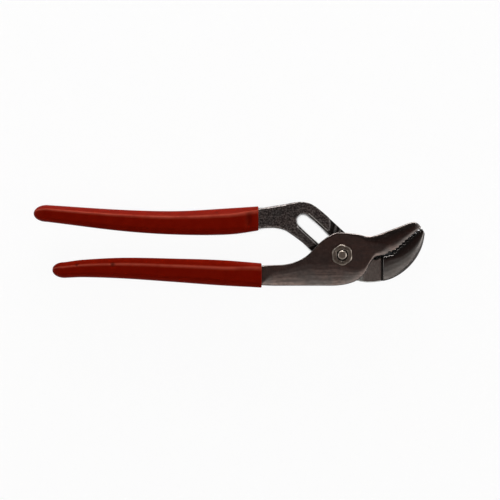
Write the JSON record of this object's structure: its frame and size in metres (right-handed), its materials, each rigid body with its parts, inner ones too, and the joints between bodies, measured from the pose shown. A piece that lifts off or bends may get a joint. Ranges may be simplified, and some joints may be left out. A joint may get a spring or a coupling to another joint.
{
  "type": "slip joint pliers",
  "caption": "Slip joint pliers with curved toothed jaws, a slotted lever with arc grooves, a tongued lever on a sliding pivot bolt, and rounded soft grips on both handles.",
  "frame": {"origin": "on the pivot axis, on the flat outer face of the bolt head, which is the lowest face when the tool lies on its back with the jaws closed", "axes": "+X along the tool to the jaws, +Y to the handle of the rear lever, +Z along the pivot axis from the bolt head to the nut"},
  "size_m": [0.2501, 0.0549, 0.0191],
  "materials": {
    "blasted_steel": "matt grey forged steel, blasted, with bright worn edges",
    "satin_steel": "satin ground forged steel, dark, with bright edges",
    "plated_steel": "nickel plated, a little dull",
    "red_vinyl": "dipped red vinyl, soft gloss"
  },
  "bodies": {
    "rear_half": {"rear_lever": "blasted_steel", "upper_grip": "red_vinyl"},
    "pivot": {"pivot_bolt": "plated_steel", "pivot_nut": "plated_steel"},
    "front_half": {"front_lever": "satin_steel", "lower_grip": "red_vinyl"}
  },
  "joints": [
    {"name": "slip_adjust", "type": "slide", "parent": "rear_half", "child": "pivot", "axis": [-0.7385, 0.6743, 0], "range_m": [0, 0.0222]},
    {"name": "pivot_hinge", "type": "hinge", "parent": "pivot", "child": "front_half", "pos_m": [0, 0, 0], "axis": [0, 0, 1], "range_deg": [0, 60]}
  ]
}
